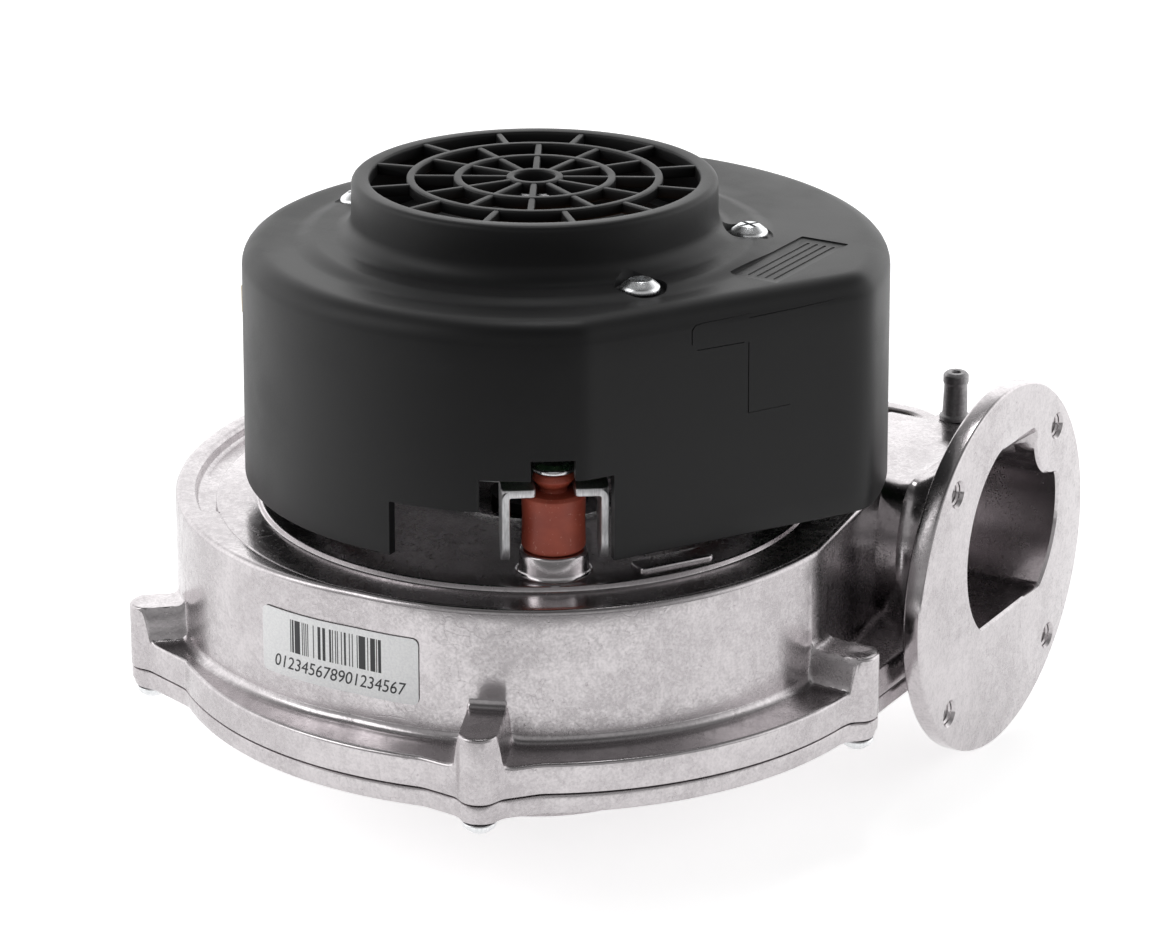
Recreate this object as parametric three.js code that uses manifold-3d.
// A premix combustion fan for a gas boiler: a die-cast scroll with a round outlet flange, and on top of it
// a motor under a black moulded cover, carried on three silicone dampers.
// Millimetres. Z is the motor axis. While it is built, the axis is at x = y = 0 and z = 0 is the underside of
// the base plate; the last lines move the finished group so that it stands on z = 0, centred on the origin.

import * as THREE from "three";
import { mergeVertices } from "three/addons/utils/BufferGeometryUtils.js";
import Module from "manifold-3d";

const wasm = await Module();
wasm.setup();

// ---------------------------------------------------------------- driving dimensions

const GAP = 0.3; // left between pieces that touch on the real fan
const RUNNING_GAP = 0.4; // around the turning shaft, on the radius
const OVERCUT = 2; // how far a cutting body runs past what it cuts
const DEG = Math.PI / 180;
const ROUND = 40; // sides of the large round bodies
const SIMPLIFY = 0.02; // flat faces are joined within this distance
const DUCT_SIDES = 24;
const MIDDLE_ROUND = 24;
const SMALL_ROUND = 16; // sides of the small ones
const SCREW_ROUND = 12; // sides of screw shanks and the tap's bore
const HEX = 6;
const JOIN = 1; // how far bodies that are one piece run into each other

// Scroll casting
const SCROLL_RADIUS = 78.5; // outside of the wall, over the front quarter
const SCROLL_GROWTH = 23.5; // how much further out the wall is on the far side
const GROWTH_POWER = 1.35; // how the spiral eases into the straight far side
const SIDE_STRAIGHT = 42; // straight length of the wall that faces the outlet
const CORNER_X = 51; // centre of the round corner beside the outlet
const CORNER_RADIUS = 15.5;
const CASING_WALL = 3;
const CASING_HEIGHT = 45;
const RIM_WIDTH = 5.5;
const RECESS_DEPTH = 3.4; // of the crescent between the rim and the round plate under the motor
const PLATE_INSET = 1; // from the front wall's outside to the plate's edge
const DISC_RADIUS = 67.3; // raised disc on the plate
const DISC_HEIGHT = 1.4;
const WELL_RADIUS = 24; // sunk round the shaft, where the seal lies
const CRESCENT_END = -137; // angle where the crescent stops at the front
const CRESCENT_SWEEP = 40; // left solid beyond it
const ROOF_THICKNESS = 3;
const BASE_THICKNESS = 5;
const LEDGE_WIDTH = 11; // how far the joint flange stands out from the wall at the front
const LEDGE_LEAST = 1.5; // and along the spiral
const LEDGE_TOP = 12.7;
const SIDE_LEDGE = 10.3; // and beside the outlet
const SIDE_LEDGE_LENGTH = 72;

// Seal between the two castings
const SEAL_OUT = 0.4; // its outer edge, out from the wall
const SEAL_WIDTH = 2.4;
const SEAL_DEPTH = 1.6;

// Lugs with the screws that close the casing: angle, and how far out from the front wall
const LUGS = [
  [0.25, 10.2],
  [-66.1, 13],
  [-139.4, 16.15],
  [152, 25],
  [105, 30.5],
  [64.6, 38.5],
];
const LUG_RADIUS = 5;
const LUG_TOP = 21.3;
const LUG_SPREAD = 11; // degrees to each side over which a lug runs into the joint flange
const LUG_NOSE = 75; // degrees of its round end to each side
const SCREW_RADIUS = 1.8;
const SCREW_HEAD_RADIUS = 4;
const SCREW_HEAD_HEIGHT = 2.6;
const SCREW_LENGTH = 15;

// Outlet
const NECK_LENGTH = 12.5; // from the side wall to the back of the flange
const FLANGE_THICKNESS = 5;
const FLANGE_RADIUS = 46.5;
const FLANGE_CENTRE_Z = 21.9;
const FLANGE_HOLE_SPACING = 57; // a square pattern
const FLANGE_HOLE_RADIUS = 3;
const DUCT_RADIUS = 26;
const DUCT_SIDE_SHIFT = 5; // the duct is not in the middle of its flange
const DUCT_RISE = 7.6;
const DUCT_FLOOR = 9.5;
const DUCT_WALL = 3;
const LOBE_RADIUS = 12.3; // screw boss that stands into one corner of the duct
const BACK_MARGIN = 3.7; // between the outside of the duct and the far wall

// Inlet collar under the base plate
const INLET_RADIUS = 29;
const COLLAR_WALL = 7;
const COLLAR_FOOT_RADIUS = 40;
const COLLAR_FOOT_THICKNESS = 5;
const COLLAR_FLARE = 4; // height over which the collar widens into its foot

// Impeller
const IMPELLER_CLEARANCE = 7;
const IMPELLER_FLOOR_GAP = 3;
const IMPELLER_ROOF_GAP = 3;
const DISC_THICKNESS = 1.5;
const BLADE_THICKNESS = 1.2;
const BLADE_COUNT = 10;
const EYE_RADIUS = 34;
const SHROUD_RISE = 7;
const SHROUD_THICKNESS = 1.2;
const HUB_RADIUS = 9;
const HUB_LENGTH = 13.5;
const NUT_RADIUS = 7.4;
const NUT_HEIGHT = 4;
const BLADE_SWEEP = 38; // degrees from the eye to the rim, against the turning direction
const BLADE_CURVE = 1.2; // above 1, a blade starts out straight and bends later

// Shaft and bearings
const SHAFT_RADIUS = 4;
const BEARING_RADIUS = 11;
const BEARING_WIDTH = 7;
const BEARING_CUP_WALL = 2;
const SHAFT_HOLE_RADIUS = 6; // clearance hole wherever the shaft passes a wall
const SHAFT_STUB = 2; // shaft beyond the impeller nut
const SHAFT_END = 2; // shaft beyond the upper bearing cup
const SHAFT_SEAL_RADIUS = 11;
const SHAFT_SEAL_HEIGHT = 2.5;

// Dampers and motor bracket
const DAMPER_CIRCLE = 57.5;
const DAMPER_ANGLES = [-54, 66, 186];
const DAMPER_RADIUS = 7.35;
const DAMPER_BODY = 14;
const NECK_RADIUS = 3;
const NECK_HEIGHT = 0.8;
const HEAD_RADIUS = 4.8;
const HEAD_HEIGHT = 3.8;
const HEAD_CONE = 0.65; // share of the head that is a cone
const DAMPER_EDGE = 1;
const PIN_RADIUS = 1.7;
const PIN_HEAD_RADIUS = 5;
const PIN_HEAD_HEIGHT = 2;
const CUP_WALL = 0.7;
const CUP_HEIGHT = 10.6;
const BRACKET_THICKNESS = 2;
const BRACKET_RADIUS = 54.5;
const ARM_WIDTH = 24.4;
const ARM_REACH = 6.2; // beyond the damper's axis
const FORK_SLOT = 8.8;
const TAB_DROP = 18.5;
const TAB_LENGTH = 12;

// Motor
const STATOR_RADIUS = 40;
const YOKE_WIDTH = 6;
const STATOR_HEIGHT = 24;
const FORMER_HEIGHT = 7;
const TEETH = 6;
const TOOTH_WIDTH = 9;
const AIR_GAP = 1;
const ROTOR_RADIUS = 19.5;
const MAGNET_THICKNESS = 3;
const TIP_SPREAD = 22; // half the angle of a pole tip
const TIP_THICKNESS = 2;
const COIL_BUILD = 4.5; // thickness of a winding around its tooth
const COIL_ROUNDING = 0.7; // share of that thickness that its corners are rounded by
const SHIELD_THICKNESS = 3;
const SHIELD_RIM = 4;
const SHIELD_ARM = 7;
const SHIELD_ARM_ANGLES = [60, 180, 300];
const WINDING_BOARD_MARGIN = 2; // from the bearing cup
const WINDING_BOARD_FROM = -80;
const WINDING_BOARD_TO = 12;

// Cover
const COVER_RADIUS = 70.3;
const COVER_FLAT = 66.7; // from the axis to each flat wall
const COVER_BULGE = 85;
const BULGE_FROM = 8;
const BULGE_TO = 95;
const BULGE_BLEND = 1.1; // softness of the corner where the bulge meets a flat wall
const COVER_WALL = 2.5;
const COVER_LIFT = 7.1; // clearance from the rim up to the cover's lower edge
const COVER_OVER_SHIELD = 3.4; // top of the cover above the seat of the upper end shield
const COVER_EDGE = 5.5; // rounding of the upper edge
const COVER_DRAFT = 0.8; // how much narrower it is at the top, on the radius
const COLLAR_RADIUS = 43.5;
const COLLAR_HEIGHT = 13.3;
const GRILLE_RADIUS = 39;
const GRILLE_THICKNESS = 3;
const RING_RADII = [6.8, 19.2, 30.3]; // outer radius of each grille ring
const RING_WIDTH = 2;
const SPOKE_WIDTH = 1.6;
const SPOKES = 12;
const COVER_SCREW_CIRCLE = 50.7;
const COVER_SCREW_ANGLES = [-30, 30, 180];
const COVER_STEP = 7.5; // degrees from one point of the outline to the next
const POCKET_DEPTH = 1.5;
const POCKET_RADIUS = 6;
const PAN_HEAD_RADIUS = 4.6;
const PAN_HEAD_HEIGHT = 2.8;
const PILLAR_RADIUS = 3.6;
const COVER_SCREW_LENGTH = 10;
const POCKET_WALL = 1.5;
// Steps of the opening around the front damper: from and to in degrees, and the height above the lower edge
const NOTCH_STEPS = [
  [-86.2, -68, 13],
  [-68.8, -43, 20.6],
  [-58.9, -50.7, 25.4],
];
const NOTCH_DEPTH = 15; // how far in from the wall it cuts

// Electronics
const BOARD_DROP = 29.3; // from the cover's top down to the board
const BOARD_THICKNESS = 1.6;
const BOARD_MARGIN = 2; // from the inside of the cover to the board
const BOARD_HOLE = 43.5;

// Connectors: the way the mouth faces, how far it is to the side of the axis, and the shell's own size
const SIGNAL_ANGLE = 180;
const SIGNAL_SHIFT = 13.3;
const SIGNAL_WIDTH = 14;
const SIGNAL_HEIGHT = 7;
const SIGNAL_LENGTH = 22;
const SIGNAL_OUT = 2.1; // how far the mouth stands out beyond the round wall
const POWER_ANGLE = 90;
const POWER_SHIFT = -13;
const POWER_WIDTH = 22;
const POWER_HEIGHT = 11;
const POWER_LENGTH = 18;
const POWER_IN = 1; // how far the mouth stays inside the bulge
const MOUTH_SHARE = 0.6; // of the shell's length
const WINDOW_CLEARANCE = 0.6;
const SHELL_WALL = 1.1;

// What stands on the board: angle, radius of its place, and its own sizes
const CAPACITORS = [[10.5, 71.5, 8, 22], [27, 72, 8, 22]];
const CHOKE = [-7.5, 60, 5.5, 12];
const HEAT_SINK = [52, 73, 24, 12, 20];
const FIN = 1.6;
const FIN_COUNT = 5;

// Pressure tap
const TAP_RADIUS = 3.4;
const TAP_HEIGHT = 13;
const TAP_TAPER = 0.4;
const TAP_BORE = 2; // outside of the stem pressed into the casting
const TAP_DEPTH = 8;
const TAP_BOSS_RADIUS = 6;
const TAP_INSET = 13; // back from the side wall
const TAP_SHIFT = 4.5; // in from the far wall

// Cast seat beside the front damper
const PAD_ANGLE = -30.7;
const PAD_RADIUS = 57.2;
const PAD_START = -6; // from the foot of the normal, along the pad
const PAD_LENGTH = 19.5;
const PAD_WIDTH = 7;
const PAD_HEIGHT = 1;

// Label on the scroll wall: the angles it spans, and its heights
const LABEL_FROM = -110.5;
const LABEL_TO = -77.8;
const LABEL_LOW = 20.2;
const LABEL_HIGH = 36.4;
const LABEL_THICKNESS = 0.3;

// ---------------------------------------------------------------- heights that follow from them

const casingFloor = BASE_THICKNESS + GAP;
const recessFloor = CASING_HEIGHT - RECESS_DEPTH;
const roofUnder = recessFloor - ROOF_THICKNESS;
const plateRadius = SCROLL_RADIUS - PLATE_INSET;
const plateUnder = CASING_HEIGHT - ROOF_THICKNESS;
const raisedTop = CASING_HEIGHT + DISC_HEIGHT;
const cupTop = recessFloor + CUP_HEIGHT;
const damperTop = cupTop + DAMPER_BODY;
const bracketZ = damperTop + GAP;
const bracketTop = bracketZ + BRACKET_THICKNESS;
const headTop = damperTop + NECK_HEIGHT + HEAD_HEIGHT;
const formerLow = bracketTop + GAP;
const statorLow = formerLow + FORMER_HEIGHT;
const statorHigh = statorLow + STATOR_HEIGHT;
const formerHigh = statorHigh + FORMER_HEIGHT;
const shieldZ = formerHigh + GAP;
const backY = SCROLL_RADIUS + SCROLL_GROWTH;
const flangeBack = SCROLL_RADIUS + NECK_LENGTH;
const flangeFace = flangeBack + FLANGE_THICKNESS;
const ductY = backY - BACK_MARGIN - DUCT_WALL - DUCT_RADIUS;
const ductZ = FLANGE_CENTRE_Z + DUCT_RISE;
const flangeY = ductY - DUCT_SIDE_SHIFT;
const coverBottom = CASING_HEIGHT + COVER_LIFT;
const coverTop = shieldZ + COVER_OVER_SHIELD;
const collarTop = coverTop + COLLAR_HEIGHT;
const screwSeat = coverTop - POCKET_DEPTH;
const boardZ = coverTop - BOARD_DROP;
const partsZ = boardZ + BOARD_THICKNESS + GAP;
const collarFoot = FLANGE_CENTRE_Z - FLANGE_RADIUS;
const impellerRadius = SCROLL_RADIUS - CASING_WALL - IMPELLER_CLEARANCE;
const discTop = roofUnder - IMPELLER_ROOF_GAP;
const discUnder = discTop - DISC_THICKNESS;
const shroudLow = BASE_THICKNESS + IMPELLER_FLOOR_GAP;
const hubLow = discTop - HUB_LENGTH;
const nutLow = hubLow - GAP - NUT_HEIGHT;
const cupBore = BEARING_RADIUS + GAP;
const cupOutside = cupBore + BEARING_CUP_WALL;
const cupDepth = BEARING_WIDTH + 2 * GAP + BEARING_CUP_WALL;
const bearingSeat = bracketTop - cupDepth + BEARING_CUP_WALL + GAP;
const shieldTop = shieldZ + SHIELD_THICKNESS;
const shaftTop = shieldZ + cupDepth + SHAFT_END;
const boreRadius = ROTOR_RADIUS + AIR_GAP;
const yokeInside = STATOR_RADIUS - YOKE_WIDTH;

// ---------------------------------------------------------------- making solids

// A closed geometry as a solid, with its faces turned outwards.
function solid(geometry) {
  const bare = geometry.index ? geometry.toNonIndexed() : geometry.clone();
  bare.deleteAttribute("normal");
  bare.deleteAttribute("uv");
  const merged = mergeVertices(bare, 1e-4);
  const vertProperties = merged.attributes.position.array;
  const corners = merged.index.array;
  const kept = [];
  for (let i = 0; i < corners.length; i += 3) {
    const [a, b, c] = [corners[i], corners[i + 1], corners[i + 2]];
    if (a !== b && b !== c && a !== c) kept.push(a, b, c);
  }
  const build = (order) =>
    new wasm.Manifold(new wasm.Mesh({ numProp: 3, vertProperties, triVerts: new Uint32Array(order) }));
  const made = build(kept);
  if (made.volume() > 0) return made;
  return build(kept.slice().reverse());
}

// A solid as a geometry that three.js can draw.
function geometryOf(body) {
  const plain = body.asOriginal().simplify(SIMPLIFY);
  const { numProp, numVert, vertProperties, triVerts } = plain.getMesh();
  const positions = new Float32Array(numVert * 3);
  for (let i = 0; i < numVert; i += 1) {
    positions.set(vertProperties.subarray(i * numProp, i * numProp + 3), i * 3);
  }
  const geometry = new THREE.BufferGeometry();
  geometry.setAttribute("position", new THREE.BufferAttribute(positions, 3));
  geometry.setIndex(new THREE.BufferAttribute(new Uint32Array(triVerts), 1));
  geometry.computeVertexNormals();
  return geometry;
}

const union = (...bodies) => bodies.reduce((a, b) => a.add(b));
const cut = (body, ...tools) => tools.reduce((a, b) => a.subtract(b), body);
const polar = (angle, radius) => [radius * Math.cos(angle * DEG), radius * Math.sin(angle * DEG)];

// An outline in plan, given as [x, y] points, raised from z0 to z1.
function prism(points, z0, z1) {
  const shape = new THREE.Shape(points.map(([x, y]) => new THREE.Vector2(x, y)));
  const geometry = new THREE.ExtrudeGeometry(shape, { depth: z1 - z0, bevelEnabled: false });
  return solid(geometry.translate(0, 0, z0));
}

// A profile of [radius, z] points turned about the Z axis. It starts and ends on the axis, or closes on itself.
function turned(profile, x = 0, y = 0, segments = ROUND) {
  const points = profile.map(([r, z]) => new THREE.Vector2(r, z));
  const geometry = new THREE.LatheGeometry(points, segments);
  return solid(geometry.rotateX(Math.PI / 2).translate(x, y, 0));
}

function rod(radius, z0, z1, x = 0, y = 0, segments = SMALL_ROUND) {
  const profile = [[0, z0], [radius, z0], [radius, z1], [0, z1]];
  return turned(profile, x, y, segments);
}

function tube(inside, outside, z0, z1, x = 0, y = 0, segments = ROUND) {
  const profile = [[inside, z0], [outside, z0], [outside, z1], [inside, z1], [inside, z0]];
  return turned(profile, x, y, segments);
}

// A block given by its low and high corners, then turned about Z by an angle in degrees.
function block(low, high, angle = 0) {
  const size = high.map((h, i) => h - low[i]);
  const geometry = new THREE.BoxGeometry(...size);
  geometry.translate(...low.map((l, i) => l + size[i] / 2));
  return solid(geometry.rotateZ(angle * DEG));
}

// A cylinder along X.
function rodX(radius, x0, x1, y, z, segments = SMALL_ROUND) {
  const geometry = new THREE.CylinderGeometry(radius, radius, x1 - x0, segments);
  return solid(geometry.rotateZ(Math.PI / 2).translate((x0 + x1) / 2, y, z));
}

// A wedge of a ring between two angles and two radii.
function wedge(from, to, inside, outside, z0, z1) {
  const steps = Math.max(2, Math.ceil((to - from) / 6));
  const points = [];
  for (let i = 0; i <= steps; i += 1) points.push(polar(from + ((to - from) * i) / steps, outside));
  for (let i = steps; i >= 0; i -= 1) points.push(polar(from + ((to - from) * i) / steps, inside));
  return prism(points, z0, z1);
}

// Rings with the same number of [x, y, z] points joined into a closed body, each end filled from its middle.
function loft(rings) {
  const count = rings[0].length;
  const positions = rings.flat(2);
  const faces = [];
  for (let k = 0; k + 1 < rings.length; k += 1) {
    for (let i = 0; i < count; i += 1) {
      const j = (i + 1) % count;
      const [a, b, c, d] = [k * count + i, k * count + j, (k + 1) * count + j, (k + 1) * count + i];
      faces.push(a, b, c, a, c, d);
    }
  }
  for (const [k, flip] of [[0, true], [rings.length - 1, false]]) {
    const ring = rings[k];
    const middle = [0, 1, 2].map((axis) => ring.reduce((sum, p) => sum + p[axis], 0) / count);
    const centre = positions.length / 3;
    positions.push(...middle);
    for (let i = 0; i < count; i += 1) {
      const j = (i + 1) % count;
      const [a, b] = [k * count + i, k * count + j];
      if (flip) faces.push(b, a, centre);
      else faces.push(a, b, centre);
    }
  }
  const geometry = new THREE.BufferGeometry();
  geometry.setAttribute("position", new THREE.BufferAttribute(new Float32Array(positions), 3));
  geometry.setIndex(faces);
  return solid(geometry);
}

// A closed outline moved outwards by a distance, each point along the normal of its two neighbours.
function offset(points, distance) {
  const count = points.length;
  return points.map(([x, y], i) => {
    const before = points[(i + count - 1) % count];
    const after = points[(i + 1) % count];
    const dx = after[0] - before[0];
    const dy = after[1] - before[1];
    const length = Math.hypot(dx, dy);
    return [x + (dy / length) * distance, y - (dx / length) * distance];
  });
}

function arc(cx, cy, radius, from, to, steps) {
  const points = [];
  for (let i = 0; i <= steps; i += 1) {
    const [x, y] = polar(from + ((to - from) * i) / steps, radius);
    points.push([cx + x, cy + y]);
  }
  return points;
}

const group = new THREE.Group();

function piece(name, body, colour, roughness, metalness) {
  const material = new THREE.MeshStandardMaterial({ color: colour, roughness, metalness });
  const mesh = new THREE.Mesh(geometryOf(body), material);
  mesh.name = name;
  group.add(mesh);
}

const CAST = [0xb9b6b2, 0.45, 0.85];
const BLACK = [0x2b2b2d, 0.6, 0];
const ZINC = [0xc9ccce, 0.25, 1];
const STEEL = [0xa9abad, 0.3, 1];
const SILICONE = [0xa5432f, 0.6, 0];
const COPPER = [0x6e4428, 0.4, 0.7];
const FORMER = [0x3a2a20, 0.5, 0];
const LAMINATION = [0x55575a, 0.5, 0.8];
const ALLOY = [0xc4c6c8, 0.35, 0.9];
const BOARD_GREEN = [0x2d5a34, 0.5, 0];
const BOARD_BROWN = [0x9a5a1e, 0.5, 0];
const BEIGE = [0xcdbf9f, 0.5, 0];
const RUBBER = [0x222222, 0.8, 0];
const MAGNET = [0x2f3033, 0.6, 0.3];
const PAPER = [0xf2f2f0, 0.6, 0];
const SLEEVE = [0x20242c, 0.35, 0];

// ---------------------------------------------------------------- the scroll outline

// How far the wall is from the axis, a share t of the way round the far half.
const spiralRadius = (t) => SCROLL_RADIUS + SCROLL_GROWTH * (1 - (1 - t) ** GROWTH_POWER);

// Anticlockwise: the front arc, the side that faces the outlet, its round corner, the far side and the spiral.
function scrollOutline() {
  const cornerY = backY - CORNER_RADIUS;
  const toCentre = Math.atan2(cornerY - SIDE_STRAIGHT, CORNER_X - SCROLL_RADIUS) / DEG;
  const reach = Math.hypot(CORNER_X - SCROLL_RADIUS, cornerY - SIDE_STRAIGHT);
  const tangent = toCentre - Math.asin(CORNER_RADIUS / reach) / DEG - 90;
  const spiral = [];
  const steps = 26;
  for (let i = 0; i < steps; i += 1) {
    const t = 1 - i / steps;
    spiral.push(polar(90 + 180 * (1 - t), spiralRadius(t)));
  }
  return [
    ...arc(0, 0, SCROLL_RADIUS, -90, 0, 13),
    [SCROLL_RADIUS, SIDE_STRAIGHT],
    ...arc(CORNER_X, cornerY, CORNER_RADIUS, tangent, 90, 5),
    ...spiral,
  ];
}

const outline = scrollOutline();
const lugPlaces = LUGS.map(([angle, out]) => [angle, SCROLL_RADIUS + out]);

// The joint flange: a round plate that follows the spiral where the spiral is larger, with its lugs.
function jointFlange(z0, z1) {
  const plate = union(
    rod(SCROLL_RADIUS + LEDGE_WIDTH, z0, z1, 0, 0, ROUND),
    prism(offset(outline, LEDGE_LEAST), z0, z1),
    block([SCROLL_RADIUS - LEDGE_WIDTH, 0, z0], [SCROLL_RADIUS + SIDE_LEDGE, SIDE_LEDGE_LENGTH, z1]),
  );
  const lugs = lugPlaces.map(([angle, radius]) => {
    const [x, y] = polar(angle, radius);
    const root = SCROLL_RADIUS + LEDGE_WIDTH - JOIN;
    const rise = radius > root + LUG_RADIUS ? radius - LUG_RADIUS : root;
    const points = [
      polar(angle - LUG_SPREAD / 2, SCROLL_RADIUS - CASING_WALL),
      polar(angle - LUG_SPREAD, rise),
      ...arc(x, y, LUG_RADIUS, angle - LUG_NOSE, angle + LUG_NOSE, 8),
      polar(angle + LUG_SPREAD, rise),
      polar(angle + LUG_SPREAD / 2, SCROLL_RADIUS - CASING_WALL),
    ];
    return prism(points, z0, z1);
  });
  return union(plate, ...lugs);
}

// The duct as a ring of points at one x: a circle cut off flat below and above.
function ductRing(x, radius, low, high) {
  const points = [];
  for (let i = 0; i < DUCT_SIDES; i += 1) {
    const [y, z] = polar((360 * i) / DUCT_SIDES, radius);
    points.push([x, ductY + y, Math.min(high, Math.max(low, ductZ + z))]);
  }
  return points;
}

// ---------------------------------------------------------------- casing

function voluteBase() {
  const collarOutside = INLET_RADIUS + COLLAR_WALL;
  const profile = [
    [INLET_RADIUS, collarFoot],
    [COLLAR_FOOT_RADIUS, collarFoot],
    [COLLAR_FOOT_RADIUS, collarFoot + COLLAR_FOOT_THICKNESS],
    [collarOutside, collarFoot + COLLAR_FOOT_THICKNESS + COLLAR_FLARE],
    [collarOutside, BASE_THICKNESS / 2],
    [INLET_RADIUS, BASE_THICKNESS / 2],
    [INLET_RADIUS, collarFoot],
  ];
  const eye = rod(INLET_RADIUS, -OVERCUT, BASE_THICKNESS + OVERCUT, 0, 0, ROUND);
  const groove = cut(
    prism(offset(outline, SEAL_OUT), BASE_THICKNESS - SEAL_DEPTH, BASE_THICKNESS + OVERCUT),
    prism(offset(outline, SEAL_OUT - SEAL_WIDTH), 0, BASE_THICKNESS + 2 * OVERCUT),
  );
  const holes = lugPlaces.map(([angle, radius]) =>
    rod(SCREW_RADIUS + GAP, -OVERCUT, BASE_THICKNESS + OVERCUT, ...polar(angle, radius)),
  );
  return cut(union(cut(jointFlange(0, BASE_THICKNESS), eye), turned(profile)), groove, ...holes);
}

function housingSeal() {
  const low = BASE_THICKNESS - SEAL_DEPTH + GAP / 2;
  return cut(
    prism(offset(outline, SEAL_OUT - GAP / 2), low, BASE_THICKNESS + GAP / 2),
    prism(offset(outline, SEAL_OUT - SEAL_WIDTH + GAP / 2), low - OVERCUT, BASE_THICKNESS + OVERCUT),
  );
}

function voluteHousing() {
  const wall = prism(outline, casingFloor, CASING_HEIGHT);
  const neckRadius = DUCT_RADIUS + DUCT_WALL;
  const neck = loft([
    ductRing(SCROLL_RADIUS - 2 * CORNER_RADIUS, neckRadius, casingFloor, CASING_HEIGHT),
    ductRing(SCROLL_RADIUS - CASING_WALL, neckRadius, casingFloor, CASING_HEIGHT),
    ductRing(flangeBack + FLANGE_THICKNESS / 2, neckRadius, casingFloor, ductZ + neckRadius),
  ]);
  const flange = rodX(FLANGE_RADIUS, flangeBack, flangeFace, flangeY, FLANGE_CENTRE_Z, ROUND);
  const lugBosses = lugPlaces.map(([angle, radius]) => {
    const low = [SCROLL_RADIUS - CASING_WALL, -LUG_RADIUS, LEDGE_TOP];
    const boss = block(low, [radius, LUG_RADIUS, LUG_TOP], angle);
    const [x, y] = polar(angle, radius);
    return union(boss, rod(LUG_RADIUS, LEDGE_TOP - JOIN, LUG_TOP, x, y));
  });
  const tapBoss = rod(TAP_BOSS_RADIUS, LEDGE_TOP, CASING_HEIGHT, ...tapPlace);
  const cavity = prism(offset(outline, -CASING_WALL), casingFloor - OVERCUT, roofUnder);
  const far = 3 * SCROLL_RADIUS;
  const ductFloor = cut(
    prism(offset(outline, -CASING_WALL / 2), casingFloor, DUCT_FLOOR),
    block([-far, -far, 0], [SCROLL_RADIUS - 3 * CASING_WALL, far, LUG_TOP]),
    block([0, -far, 0], [far, ductY - DUCT_RADIUS, LUG_TOP]),
  );
  const passage = loft([
    ductRing(SCROLL_RADIUS - 3 * CASING_WALL, DUCT_RADIUS, DUCT_FLOOR, roofUnder),
    ductRing(SCROLL_RADIUS, DUCT_RADIUS, DUCT_FLOOR, roofUnder),
    ductRing(flangeFace + OVERCUT, DUCT_RADIUS, DUCT_FLOOR, ductZ + DUCT_RADIUS),
  ]);
  const half = FLANGE_HOLE_SPACING / 2;
  const lobeEnd = flangeFace + 2 * OVERCUT;
  const lobe = rodX(LOBE_RADIUS, SCROLL_RADIUS, lobeEnd, flangeY + half, FLANGE_CENTRE_Z + half);
  const holeFrom = flangeBack - OVERCUT;
  const holes = [];
  for (const side of [-half, half]) {
    for (const up of [-half, half]) {
      const [y, z] = [flangeY + side, FLANGE_CENTRE_Z + up];
      holes.push(rodX(FLANGE_HOLE_RADIUS, holeFrom, flangeFace + OVERCUT, y, z));
    }
  }
  const crescentTop = CASING_HEIGHT + OVERCUT;
  const [solidTo, farOut] = [CRESCENT_END + CRESCENT_SWEEP, plateRadius + SCROLL_GROWTH];
  const crescent = cut(
    prism(offset(outline, -RIM_WIDTH), recessFloor, crescentTop),
    rod(plateRadius, roofUnder, crescentTop + OVERCUT, 0, 0, ROUND),
    wedge(CRESCENT_END, solidTo, DISC_RADIUS, farOut, roofUnder, crescentTop + OVERCUT),
  );
  const plateHollow = tube(WELL_RADIUS + CASING_WALL, DISC_RADIUS, roofUnder - OVERCUT, plateUnder);
  const disc = rod(DISC_RADIUS, plateUnder + JOIN, raisedTop, 0, 0, ROUND);
  const screwEnd = casingFloor + SCREW_LENGTH - BASE_THICKNESS;
  const screwHoles = lugPlaces.map(([angle, radius]) =>
    rod(SCREW_RADIUS + GAP, casingFloor - OVERCUT, screwEnd, ...polar(angle, radius)),
  );
  const ledge = jointFlange(casingFloor, LEDGE_TOP);
  const shell = cut(union(wall, neck, flange, tapBoss, ledge, ...lugBosses), cavity);
  const closed = union(shell, ductFloor, disc);
  const opened = cut(closed, cut(passage, lobe), crescent, plateHollow, ...holes, ...screwHoles);
  const pedestals = damperPlaces.map(([x, y]) => rod(DAMPER_RADIUS + CUP_WALL, roofUnder + GAP, cupTop, x, y));
  const pinHoleLow = recessFloor + GAP;
  const pinHoles = damperPlaces.map(([x, y]) => rod(PIN_RADIUS + GAP, pinHoleLow, cupTop + OVERCUT, x, y));
  const seat = block(
    [PAD_RADIUS, PAD_START, plateUnder + JOIN],
    [PAD_RADIUS + PAD_WIDTH, PAD_START + PAD_LENGTH, raisedTop + PAD_HEIGHT],
    PAD_ANGLE,
  );
  const tapHole = rod(TAP_BORE + GAP, CASING_HEIGHT - TAP_DEPTH, CASING_HEIGHT + OVERCUT, ...tapPlace);
  const shaftHole = rod(SHAFT_HOLE_RADIUS, roofUnder - OVERCUT, recessFloor + OVERCUT);
  const well = rod(WELL_RADIUS, recessFloor, raisedTop + OVERCUT, 0, 0, ROUND);
  return cut(union(opened, seat, ...pedestals), shaftHole, well, tapHole, ...pinHoles);
}

const damperPlaces = DAMPER_ANGLES.map((angle) => polar(angle, DAMPER_CIRCLE));
const tapPlace = [SCROLL_RADIUS - TAP_INSET, backY - TAP_SHIFT];

piece("volute_base", voluteBase(), ...CAST);
piece("housing_seal", housingSeal(), ...RUBBER);
piece("volute_housing", voluteHousing(), ...CAST);

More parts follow.
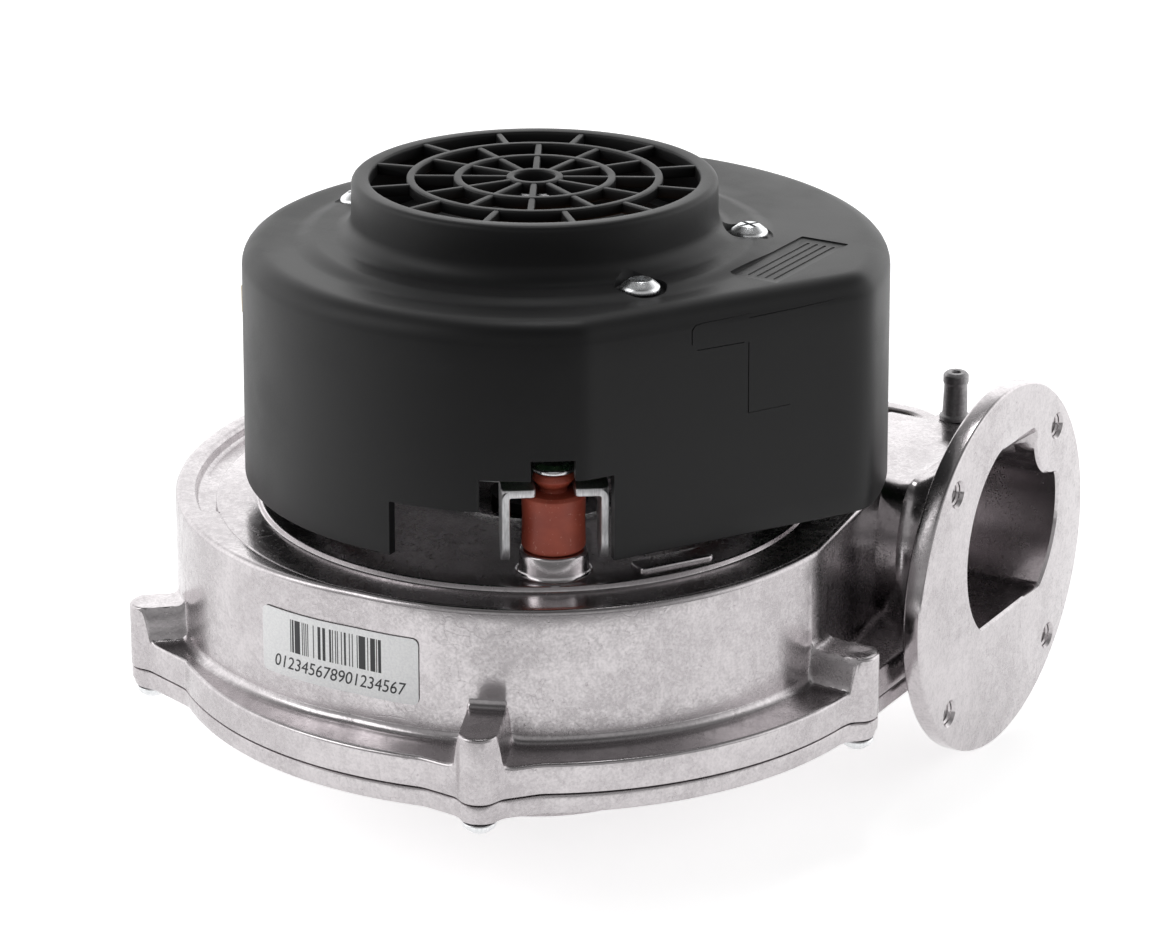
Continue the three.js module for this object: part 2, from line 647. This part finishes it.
lugPlaces.forEach(([angle, radius], i) => {
  const [x, y] = polar(angle, radius);
  const screw = union(
    rod(SCREW_HEAD_RADIUS, -GAP - SCREW_HEAD_HEIGHT, -GAP, x, y),
    rod(SCREW_RADIUS, -GAP - SCREW_HEAD_HEIGHT / 2, SCREW_LENGTH - 2 * GAP, x, y, SCREW_ROUND),
  );
  piece(`housing_screw_${i + 1}`, screw, ...ZINC);
});

function pressureTap() {
  const foot = CASING_HEIGHT + GAP;
  const top = CASING_HEIGHT + TAP_HEIGHT;
  const stemEnd = CASING_HEIGHT - TAP_DEPTH;
  const profile = [
    [0, foot],
    [TAP_RADIUS, foot],
    [TAP_RADIUS - TAP_TAPER, top],
    [0, top],
  ];
  const spigot = turned(profile, ...tapPlace, MIDDLE_ROUND);
  const stem = rod(TAP_BORE, stemEnd + GAP, foot + GAP, ...tapPlace);
  const bore = rod(TAP_BORE / 2, stemEnd - OVERCUT, top + OVERCUT, ...tapPlace, SCREW_ROUND);
  return cut(union(spigot, stem), bore);
}
piece("pressure_tap", pressureTap(), ...CAST);

const sealLow = recessFloor + GAP;
const sealHigh = sealLow + SHAFT_SEAL_HEIGHT;
const shaftSeal = tube(SHAFT_RADIUS + RUNNING_GAP, SHAFT_SEAL_RADIUS, sealLow, sealHigh, 0, 0, MIDDLE_ROUND);
piece("shaft_seal", shaftSeal, ...RUBBER);

// The label follows the wall between two angles.
function labelBody() {
  const inner = [];
  const outer = [];
  const steps = 10;
  for (let i = 0; i <= steps; i += 1) {
    const angle = LABEL_FROM + ((LABEL_TO - LABEL_FROM) * i) / steps;
    const radius = angle < -90 ? spiralRadius((-90 - angle) / 180) : SCROLL_RADIUS;
    inner.push(polar(angle, radius + GAP));
    outer.push(polar(angle, radius + GAP + LABEL_THICKNESS));
  }
  return prism([...outer, ...inner.reverse()], LABEL_LOW, LABEL_HIGH);
}
piece("barcode_label", labelBody(), ...PAPER);

// ---------------------------------------------------------------- dampers and their pins

damperPlaces.forEach(([x, y], i) => {
  const bore = PIN_RADIUS + GAP;
  const low = cupTop + GAP;
  const neckTop = damperTop + NECK_HEIGHT;
  const damper = turned(
    [
      [bore, low],
      [DAMPER_RADIUS, low],
      [DAMPER_RADIUS, damperTop - DAMPER_EDGE],
      [DAMPER_RADIUS - DAMPER_EDGE, damperTop],
      [NECK_RADIUS, damperTop],
      [NECK_RADIUS, neckTop],
      [HEAD_RADIUS, neckTop + HEAD_HEIGHT * HEAD_CONE],
      [HEAD_RADIUS, headTop],
      [bore, headTop],
      [bore, low],
    ],
    x,
    y,
    SMALL_ROUND,
  );
  const pin = union(
    rod(PIN_HEAD_RADIUS, headTop + GAP, headTop + GAP + PIN_HEAD_HEIGHT, x, y),
    rod(PIN_RADIUS, recessFloor + 2 * GAP, headTop + PIN_HEAD_HEIGHT, x, y),
  );
  piece(`damper_${i + 1}`, damper, ...SILICONE);
  piece(`damper_pin_${i + 1}`, pin, ...STEEL);
});

// ---------------------------------------------------------------- rotor and impeller

function impellerWheel() {
  const disc = rod(impellerRadius, discUnder, discTop, 0, 0, ROUND);
  const hubProfile = [
    [0, hubLow],
    [HUB_RADIUS, hubLow],
    [HUB_RADIUS, discUnder - HUB_RADIUS / 2],
    [2 * HUB_RADIUS, discTop - GAP],
    [0, discTop - GAP],
  ];
  const hub = turned(hubProfile, 0, 0, MIDDLE_ROUND);
  const blades = [];
  for (let i = 0; i < BLADE_COUNT; i += 1) blades.push(blade((360 * i) / BLADE_COUNT));
  return cut(union(disc, hub, ...blades), rod(SHAFT_RADIUS + GAP, hubLow - OVERCUT, discTop + OVERCUT));
}

// A blade swept back against the turning direction, from the eye to the rim, tapered to follow the shroud.
function blade(start) {
  const steps = 6;
  const rings = [];
  for (let i = 0; i <= steps; i += 1) {
    const t = i / steps;
    const radius = EYE_RADIUS - JOIN + (impellerRadius - JOIN - EYE_RADIUS) * t;
    const angle = start + BLADE_SWEEP * t ** BLADE_CURVE;
    const half = ((BLADE_THICKNESS / 2) / radius) / DEG;
    const low = shroudHeight(radius) + SHROUD_THICKNESS + GAP;
    const high = discUnder + DISC_THICKNESS / 2;
    const [ax, ay] = polar(angle - half, radius);
    const [bx, by] = polar(angle + half, radius);
    rings.push([[ax, ay, low], [bx, by, low], [bx, by, high], [ax, ay, high]]);
  }
  return loft(rings);
}

const shroudSlope = SHROUD_RISE / (impellerRadius - EYE_RADIUS);
const shroudHeight = (radius) => shroudLow + shroudSlope * (radius - EYE_RADIUS);

const shroud = turned(
  [
    [EYE_RADIUS, shroudLow],
    [impellerRadius, shroudHeight(impellerRadius)],
    [impellerRadius, shroudHeight(impellerRadius) + SHROUD_THICKNESS],
    [EYE_RADIUS, shroudLow + SHROUD_THICKNESS],
    [EYE_RADIUS, shroudLow],
  ],
);

piece("impeller_wheel", impellerWheel(), ...ALLOY);
piece("impeller_shroud", shroud, ...ALLOY);
const nutBore = rod(SHAFT_RADIUS + GAP, nutLow - OVERCUT, hubLow + OVERCUT);
piece("impeller_nut", cut(rod(NUT_RADIUS, nutLow, nutLow + NUT_HEIGHT, 0, 0, HEX), nutBore), ...ZINC);
piece("motor_shaft", rod(SHAFT_RADIUS, nutLow - SHAFT_STUB, shaftTop), ...STEEL);
const rotorTube = (inside, outside) => tube(inside, outside, statorLow, statorHigh, 0, 0, MIDDLE_ROUND);
const magnetInside = ROTOR_RADIUS - MAGNET_THICKNESS;
piece("rotor_core", rotorTube(SHAFT_RADIUS + GAP, magnetInside - GAP), ...LAMINATION);
piece("rotor_magnet", rotorTube(magnetInside, ROTOR_RADIUS), ...MAGNET);

// ---------------------------------------------------------------- motor, standing still

function motorBracket() {
  const plate = rod(BRACKET_RADIUS, bracketZ, bracketTop, 0, 0, ROUND);
  const cup = rod(cupOutside, bracketTop - cupDepth, bracketTop - GAP, 0, 0, ROUND);
  const reach = DAMPER_CIRCLE + ARM_REACH;
  const arms = DAMPER_ANGLES.map((angle) => {
    const half = ARM_WIDTH / 2;
    const arm = block([BRACKET_RADIUS / 2, -half, bracketZ], [reach, half, bracketTop], angle);
    const tabLow = bracketTop - TAB_DROP;
    const tabs = [-half, half - BRACKET_THICKNESS].map((side) =>
      block([reach - TAB_LENGTH, side, tabLow], [reach, side + BRACKET_THICKNESS, bracketTop - GAP], angle),
    );
    return union(arm, ...tabs);
  });
  const slotLow = bracketZ - OVERCUT;
  const slotHigh = bracketTop + OVERCUT;
  const slotHalf = FORK_SLOT / 2;
  const slots = DAMPER_ANGLES.map((angle) =>
    union(
      block([DAMPER_CIRCLE, -slotHalf, slotLow], [reach + OVERCUT, slotHalf, slotHigh], angle),
      rod(slotHalf, slotLow, slotHigh, ...polar(angle, DAMPER_CIRCLE)),
    ),
  );
  const holes = [
    rod(cupBore, bearingSeat - GAP, bracketTop + OVERCUT, 0, 0, ROUND),
    rod(SHAFT_HOLE_RADIUS, bracketTop - cupDepth - OVERCUT, bracketTop, 0, 0, MIDDLE_ROUND),
  ];
  return cut(union(plate, cup, ...arms), ...slots, ...holes);
}

piece("motor_bracket", motorBracket(), ...STEEL);

const bearingBore = SHAFT_RADIUS + RUNNING_GAP;
const bearing = (z) => tube(bearingBore, BEARING_RADIUS, z, z + BEARING_WIDTH, 0, 0, MIDDLE_ROUND);
piece("lower_bearing", bearing(bearingSeat), ...STEEL);
piece("upper_bearing", bearing(shieldZ + GAP), ...STEEL);

piece("lower_former", tube(yokeInside, STATOR_RADIUS, formerLow, statorLow - GAP), ...FORMER);
piece("upper_former", tube(yokeInside, STATOR_RADIUS, statorHigh + GAP, formerHigh), ...FORMER);

const teethBody = [];
for (let i = 0; i < TEETH; i += 1) {
  const angle = (360 * i) / TEETH;
  const half = TOOTH_WIDTH / 2;
  const tipOutside = boreRadius + TIP_THICKNESS;
  teethBody.push(block([boreRadius + JOIN, -half, statorLow], [yokeInside + JOIN, half, statorHigh], angle));
  teethBody.push(wedge(angle - TIP_SPREAD, angle + TIP_SPREAD, boreRadius, tipOutside, statorLow, statorHigh));
}
const statorYoke = tube(yokeInside, STATOR_RADIUS, statorLow, statorHigh);
piece("stator_core", union(statorYoke, ...teethBody), ...LAMINATION);

// A winding around one tooth: a flat rounded loop, as deep as the room between the tooth's tip and the yoke.
function coil(angle) {
  const insideHalf = TOOTH_WIDTH / 2 + GAP;
  const outsideHalf = insideHalf + COIL_BUILD;
  const middle = (statorLow + statorHigh) / 2;
  const insideHigh = STATOR_HEIGHT / 2 + GAP;
  const outsideHigh = insideHigh + COIL_BUILD;
  const from = boreRadius + TIP_THICKNESS + GAP;
  const to = Math.sqrt((yokeInside - GAP) ** 2 - outsideHalf ** 2);
  const r = COIL_BUILD * COIL_ROUNDING;
  const shape = new THREE.Shape();
  const points = [
    ...arc(outsideHalf - r, outsideHigh - r, r, 0, 90, 3),
    ...arc(r - outsideHalf, outsideHigh - r, r, 90, 180, 3),
    ...arc(r - outsideHalf, r - outsideHigh, r, 180, 270, 3),
    ...arc(outsideHalf - r, r - outsideHigh, r, 270, 360, 3),
  ];
  shape.setFromPoints(points.map(([x, y]) => new THREE.Vector2(x, y)));
  const hole = [[1, 1], [-1, 1], [-1, -1], [1, -1]];
  shape.holes.push(new THREE.Path(hole.map(([x, y]) => new THREE.Vector2(x * insideHalf, y * insideHigh))));
  const geometry = new THREE.ExtrudeGeometry(shape, { depth: to - from, bevelEnabled: false });
  const [x, y, z] = [[1, 0, 0], [0, 1, 0], [0, 0, 1]].map((axis) => new THREE.Vector3(...axis));
  const stand = new THREE.Matrix4().makeBasis(y, z, x);
  geometry.applyMatrix4(stand).translate(from, 0, middle).rotateZ(angle * DEG);
  return solid(geometry);
}
for (let i = 0; i < TEETH; i += 1) piece(`coil_${i + 1}`, coil((360 * i) / TEETH), ...COPPER);

function endShield() {
  const rim = tube(STATOR_RADIUS - SHIELD_RIM, STATOR_RADIUS, shieldZ, shieldTop);
  const cup = rod(cupOutside, shieldZ, shieldZ + cupDepth, 0, 0, ROUND);
  const armHalf = SHIELD_ARM / 2;
  const arms = SHIELD_ARM_ANGLES.map((angle) =>
    block([cupBore + JOIN, -armHalf, shieldZ], [STATOR_RADIUS - SHIELD_RIM / 2, armHalf, shieldTop], angle),
  );
  const bore = rod(cupBore, shieldZ - OVERCUT, shieldZ + BEARING_WIDTH + 2 * GAP, 0, 0, ROUND);
  const top = rod(SHAFT_HOLE_RADIUS, shieldZ, shieldZ + cupDepth + OVERCUT, 0, 0, MIDDLE_ROUND);
  return cut(union(rim, cup, ...arms), bore, top);
}
piece("end_shield", endShield(), ...BLACK);

function windingBoard() {
  const low = shieldTop + GAP;
  const inside = cupOutside + WINDING_BOARD_MARGIN;
  const outside = STATOR_RADIUS - SHIELD_RIM / 2;
  return wedge(WINDING_BOARD_FROM, WINDING_BOARD_TO, inside, outside, low, low + BOARD_THICKNESS);
}
piece("winding_board", windingBoard(), ...BOARD_BROWN);

// ---------------------------------------------------------------- cover

// The cover in plan: round, with a wider round stretch that two flat walls run out to.
function coverRadiusAt(angle) {
  const middle = (BULGE_FROM + BULGE_TO) / 2;
  const turn = Math.abs(((angle - middle + 540) % 360) - 180);
  const halfBulge = (BULGE_TO - BULGE_FROM) / 2;
  const flatNormal = halfBulge + Math.acos(COVER_FLAT / COVER_BULGE) / DEG;
  const flatEnd = flatNormal + Math.acos(COVER_FLAT / COVER_RADIUS) / DEG;
  if (turn >= flatEnd) return COVER_RADIUS;
  const onFlat = COVER_FLAT / Math.cos(Math.min(80, flatNormal - turn) * DEG);
  return COVER_BULGE - BULGE_BLEND * Math.log(Math.exp((COVER_BULGE - onFlat) / BULGE_BLEND) + 1);
}

const coverOutline = [];
for (let angle = 0; angle < 360; angle += COVER_STEP) coverOutline.push(polar(angle, coverRadiusAt(angle)));

const level = (points, z) => points.map(([x, y]) => [x, y, z]);

// The cover's solid form, shrunk all over by an inset.
function coverForm(inset, low, top, edge) {
  const rings = [level(offset(coverOutline, -inset), low)];
  const steps = 3;
  for (let i = 0; i <= steps; i += 1) {
    const a = (90 * i) / steps;
    const [out, up] = polar(a, edge);
    rings.push(level(offset(coverOutline, -inset - COVER_DRAFT - edge + out), top - edge + up));
  }
  return loft(rings);
}

function grille() {
  const low = collarTop - GRILLE_THICKNESS;
  const ring = (radius) => tube(radius - RING_WIDTH, radius, low, collarTop, 0, 0, MIDDLE_ROUND);
  const rings = RING_RADII.map(ring);
  const [hub, , outer] = RING_RADII;
  const spokes = [];
  for (let i = 0; i < SPOKES; i += 1) {
    const step = 360 / SPOKES;
    const half = SPOKE_WIDTH / 2;
    spokes.push(block([hub - JOIN, -half, low], [outer - JOIN, half, collarTop], i * step));
    spokes.push(block([outer - JOIN, -half, low], [GRILLE_RADIUS + JOIN, half, collarTop], (i + 0.5) * step));
  }
  return union(...rings, ...spokes);
}

function motorCover() {
  const outside = coverForm(0, coverBottom, coverTop, COVER_EDGE);
  const inside = coverForm(COVER_WALL, coverBottom - OVERCUT, coverTop - COVER_WALL, COVER_EDGE - COVER_WALL);
  const shell = cut(outside, inside, rod(GRILLE_RADIUS + JOIN, coverBottom, coverTop + OVERCUT, 0, 0, ROUND));
  const collar = turned([
    [COLLAR_RADIUS - COVER_WALL, coverTop - COVER_WALL],
    [COLLAR_RADIUS, coverTop - COVER_WALL],
    [COLLAR_RADIUS, collarTop],
    [GRILLE_RADIUS, collarTop],
    [GRILLE_RADIUS, collarTop - GRILLE_THICKNESS],
    [COLLAR_RADIUS - COVER_WALL, collarTop - GRILLE_THICKNESS],
    [COLLAR_RADIUS - COVER_WALL, coverTop - COVER_WALL],
  ]);
  const bore = rod(COLLAR_RADIUS - COVER_WALL, coverBottom, coverTop + JOIN, 0, 0, ROUND);
  const bosses = coverScrewPlaces.map(([x, y]) =>
    rod(POCKET_RADIUS + POCKET_WALL, screwSeat - COVER_WALL, coverTop - JOIN, x, y),
  );
  const pockets = coverScrewPlaces.map(([x, y]) =>
    union(
      rod(POCKET_RADIUS, screwSeat, coverTop + OVERCUT, x, y),
      rod(SCREW_RADIUS + GAP, screwSeat - 2 * COVER_WALL, coverTop + OVERCUT, x, y),
    ),
  );
  const notchInside = COVER_RADIUS - NOTCH_DEPTH;
  const notch = NOTCH_STEPS.map(([from, to, height]) =>
    wedge(from, to, notchInside, COVER_BULGE, coverBottom - OVERCUT, coverBottom + height),
  );
  const windows = [
    window(SIGNAL_ANGLE, SIGNAL_SHIFT, SIGNAL_WIDTH, SIGNAL_HEIGHT),
    window(POWER_ANGLE, POWER_SHIFT, POWER_WIDTH, POWER_HEIGHT),
  ];
  const body = cut(union(shell, ...bosses), bore);
  return cut(union(body, collar, grille()), ...pockets, ...notch, ...windows);
}

// A cut through the cover's wall for a connector that stands on the board.
function window(angle, shift, width, height) {
  const half = width / 2 + WINDOW_CLEARANCE;
  const low = [COVER_FLAT - POWER_LENGTH, shift - half, partsZ - WINDOW_CLEARANCE];
  return block(low, [COVER_BULGE + OVERCUT, shift + half, partsZ + height + WINDOW_CLEARANCE], angle);
}

const coverScrewPlaces = COVER_SCREW_ANGLES.map((angle) => polar(angle, COVER_SCREW_CIRCLE));
piece("motor_cover", motorCover(), ...BLACK);

coverScrewPlaces.forEach(([x, y], i) => {
  const top = screwSeat - COVER_WALL - GAP;
  const pillar = cut(
    rod(PILLAR_RADIUS, bracketTop + GAP, top, x, y, HEX),
    rod(SCREW_RADIUS + GAP, top - COVER_SCREW_LENGTH, top + OVERCUT, x, y),
  );
  const screw = union(
    rod(PAN_HEAD_RADIUS, screwSeat + GAP, screwSeat + GAP + PAN_HEAD_HEIGHT, x, y),
    rod(SCREW_RADIUS, top - COVER_SCREW_LENGTH + GAP, screwSeat + 2 * GAP, x, y, SCREW_ROUND),
  );
  piece(`cover_pillar_${i + 1}`, pillar, ...ZINC);
  piece(`cover_screw_${i + 1}`, screw, ...ZINC);
});

// ---------------------------------------------------------------- electronics

function controlBoard() {
  const edge = offset(coverOutline, -COVER_WALL - COVER_DRAFT - BOARD_MARGIN);
  const plate = prism(edge, boardZ, boardZ + BOARD_THICKNESS);
  const hole = ([x, y]) => rod(PILLAR_RADIUS + GAP, boardZ - OVERCUT, partsZ + OVERCUT, x, y);
  const holes = coverScrewPlaces.map(hole);
  return cut(plate, rod(BOARD_HOLE, boardZ - OVERCUT, partsZ + OVERCUT, 0, 0, ROUND), ...holes);
}
piece("control_board", controlBoard(), ...BOARD_GREEN);

// A connector shell with its mouth outwards, its outer end at a radius.
function connector(angle, shift, width, height, length, tip) {
  const half = width / 2;
  const shell = block([tip - length, shift - half, partsZ], [tip, shift + half, partsZ + height], angle);
  const mouth = block(
    [tip - length * MOUTH_SHARE, shift - half + SHELL_WALL, partsZ + SHELL_WALL],
    [tip + OVERCUT, shift + half - SHELL_WALL, partsZ + height - SHELL_WALL],
    angle,
  );
  return cut(shell, mouth);
}
const signalTip = COVER_RADIUS + SIGNAL_OUT;
const signal = connector(SIGNAL_ANGLE, SIGNAL_SHIFT, SIGNAL_WIDTH, SIGNAL_HEIGHT, SIGNAL_LENGTH, signalTip);
piece("signal_connector", signal, ...BEIGE);
const powerTip = COVER_BULGE - POWER_IN;
const power = connector(POWER_ANGLE, POWER_SHIFT, POWER_WIDTH, POWER_HEIGHT, POWER_LENGTH, powerTip);
piece("power_connector", power, ...BEIGE);

CAPACITORS.forEach(([angle, radius, r, height], i) => {
  const can = rod(r, partsZ, partsZ + height, ...polar(angle, radius), MIDDLE_ROUND);
  piece(`capacitor_${i + 1}`, can, ...SLEEVE);
});
const [chokeAngle, chokeAt, chokeRadius, chokeHeight] = CHOKE;
const chokePlace = polar(chokeAngle, chokeAt);
const chokeBody = tube(chokeRadius / 3, chokeRadius, partsZ, partsZ + chokeHeight, ...chokePlace, MIDDLE_ROUND);
piece("choke", chokeBody, ...COPPER);

function heatSink() {
  const [angle, at, width, depth, height] = HEAT_SINK;
  const near = at - depth / 2;
  const top = partsZ + height;
  const back = block([near, -width / 2, partsZ], [near + FIN, width / 2, top], angle);
  const fins = [];
  for (let i = 0; i < FIN_COUNT; i += 1) {
    const side = -width / 2 + ((width - FIN) * i) / (FIN_COUNT - 1);
    fins.push(block([near, side, partsZ], [at + depth / 2, side + FIN, top], angle));
  }
  return union(back, ...fins);
}
piece("heat_sink", heatSink(), ...ALLOY);

// ---------------------------------------------------------------- stand it on z = 0, centred on the origin

const box = new THREE.Box3().setFromObject(group);
const centre = box.getCenter(new THREE.Vector3());
group.position.set(-centre.x, -centre.y, -box.min.z);

export default group;
